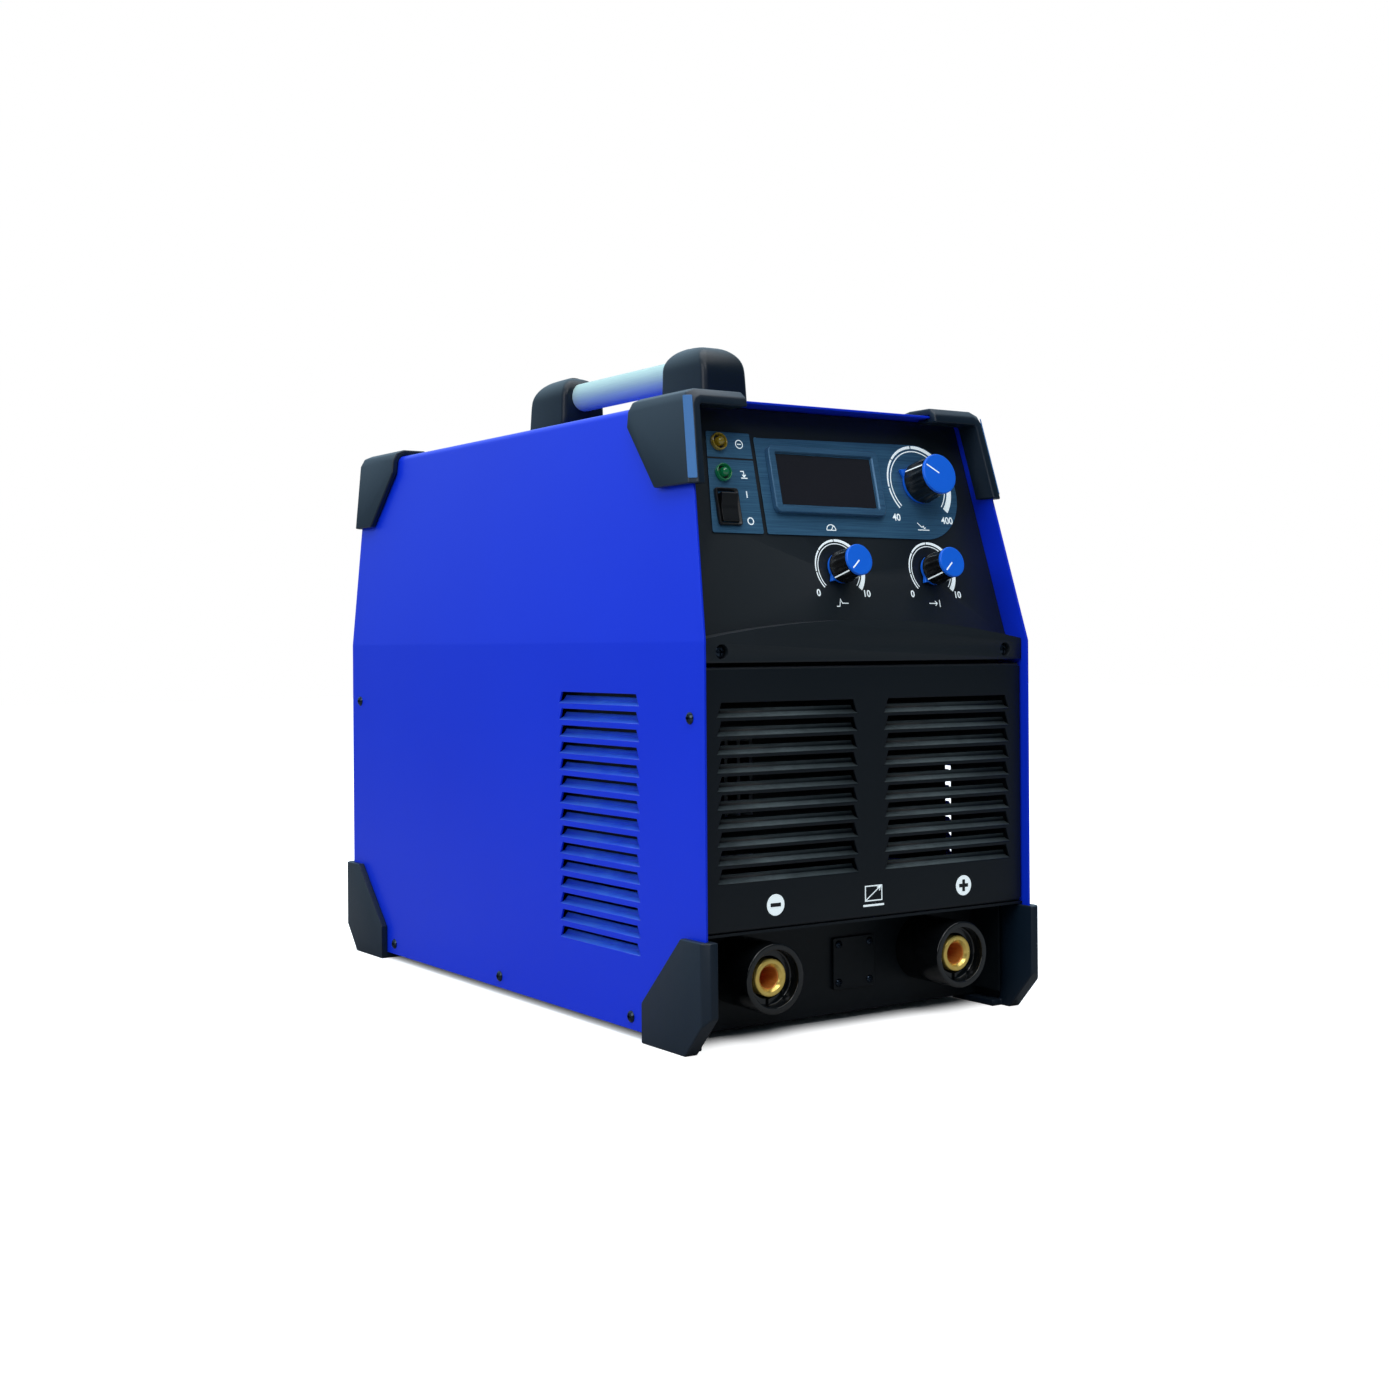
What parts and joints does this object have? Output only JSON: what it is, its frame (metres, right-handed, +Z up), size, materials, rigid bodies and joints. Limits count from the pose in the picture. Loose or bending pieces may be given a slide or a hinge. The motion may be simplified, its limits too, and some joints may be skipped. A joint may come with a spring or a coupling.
{
  "type": "stick welding inverter",
  "caption": "Free-standing stick welding inverter: folded steel case with corner guards, carrying handle, sloping control panel, output sockets, cooling fan and power electronics.",
  "frame": {"origin": "centre of the bounding box at the level of the feet, on the surface the machine stands on", "axes": "+Z up, the control panel and sockets face -Y, +X to the right when looking at the front"},
  "size_m": [0.266, 0.512, 0.4449],
  "materials": {
    "blue_paint": "gloss powder coat",
    "black_paint": "satin powder coat",
    "black_plastic": "fine grained moulding",
    "guard_plastic": "satin moulding with a cool sheen",
    "gloss_black": "polished",
    "socket_plastic": "semi gloss glass-filled moulding",
    "fan_plastic": "moulded",
    "breaker_plastic": "moulded",
    "meter_plastic": "brushed film over moulding",
    "meter_window": "smoked, polished",
    "brushed_label": "brushed, blue tinted",
    "zinc_steel": "bright zinc plated",
    "bright_wire": "bright plated wire",
    "satin_aluminium": "satin anodised",
    "brass": "machined",
    "knob_blue": "satin",
    "amber_lens": "clear lens in a gilt ring",
    "green_lens": "clear green lens",
    "circuit_board": "solder mask",
    "copper_wire": "enamelled winding",
    "core_steel": "laminated",
    "capacitor_sleeve": "shrink sleeve"
  },
  "bodies": {
    "case": {"cover": "blue_paint", "base_tray": "zinc_steel", "front_bezel": "black_plastic", "grille_panel": "black_paint", "socket_panel": "black_paint", "rear_panel": "black_paint", "handle_bracket_front": "black_plastic", "handle_bracket_rear": "black_plastic", "handle_tube": "satin_aluminium", "socket_negative": "socket_plastic", "socket_positive": "socket_plastic", "socket_negative_insert": "brass", "socket_positive_insert": "brass", "blank_plate": "black_paint", "fan_frame": "fan_plastic", "fan_guard": "bright_wire", "breaker_housing": "breaker_plastic", "cable_gland": "black_plastic", "earth_stud": "brass", "heatsink_lower": "satin_aluminium", "heatsink_upper": "satin_aluminium", "transformer_core": "core_steel", "transformer_winding": "copper_wire", "output_choke": "copper_wire", "main_board": "circuit_board", "control_board": "circuit_board", "bus_capacitor": "capacitor_sleeve", "label_main": "brushed_label", "label_side": "brushed_label", "meter_frame": "meter_plastic", "meter_window": "meter_window", "led_fault": "amber_lens", "led_ready": "green_lens", "switch_housing": "black_plastic", "guard_front_lower_left": "guard_plastic", "guard_front_lower_right": "guard_plastic", "guard_front_upper_left": "guard_plastic", "guard_front_upper_right": "guard_plastic", "guard_rear_lower_left": "guard_plastic", "guard_rear_lower_right": "guard_plastic", "guard_rear_upper_left": "guard_plastic", "guard_rear_upper_right": "guard_plastic", "potentiometer_current": "zinc_steel", "potentiometer_hot_start": "zinc_steel", "potentiometer_arc_force": "zinc_steel"},
    "knob_current": {"knob_current": "gloss_black", "knob_current_cap": "knob_blue", "knob_current_ring": "knob_blue", "knob_current_shaft": "zinc_steel"},
    "knob_hot_start": {"knob_hot_start": "gloss_black", "knob_hot_start_cap": "knob_blue", "knob_hot_start_ring": "knob_blue", "knob_hot_start_shaft": "zinc_steel"},
    "knob_arc_force": {"knob_arc_force": "gloss_black", "knob_arc_force_cap": "knob_blue", "knob_arc_force_ring": "knob_blue", "knob_arc_force_shaft": "zinc_steel"},
    "power_rocker": {"switch_rocker": "gloss_black"},
    "fan_wheel": {"fan_rotor": "fan_plastic"},
    "breaker_toggle": {"breaker_lever": "breaker_plastic"}
  },
  "joints": [
    {"name": "knob_current_turn", "type": "hinge", "parent": "case", "child": "knob_current", "pos_m": [0.071, -0.20651, 0.34348], "axis": [0, 0.9713, -0.238], "range_deg": [-72, 198]},
    {"name": "knob_hot_start_turn", "type": "hinge", "parent": "case", "child": "knob_hot_start", "pos_m": [-0.0055, -0.22043, 0.28666], "axis": [0, 0.9713, -0.238], "range_deg": [0, 270]},
    {"name": "knob_arc_force_turn", "type": "hinge", "parent": "case", "child": "knob_arc_force", "pos_m": [0.0705, -0.22043, 0.28666], "axis": [0, 0.9713, -0.238], "range_deg": [0, 270]},
    {"name": "power_rocker_tilt", "type": "hinge", "parent": "case", "child": "power_rocker", "pos_m": [-0.0846, -0.211, 0.32265], "axis": [-1, 0, 0], "range_deg": [0, 20]},
    {"name": "fan_spin", "type": "hinge", "parent": "case", "child": "fan_wheel", "pos_m": [0, 0.2, 0.1545], "axis": [0, 1, 0], "continuous": true},
    {"name": "breaker_toggle_throw", "type": "hinge", "parent": "case", "child": "breaker_toggle", "pos_m": [-0.062, 0.232, 0.3005], "axis": [1, 0, 0], "range_deg": [0, 50]}
  ]
}
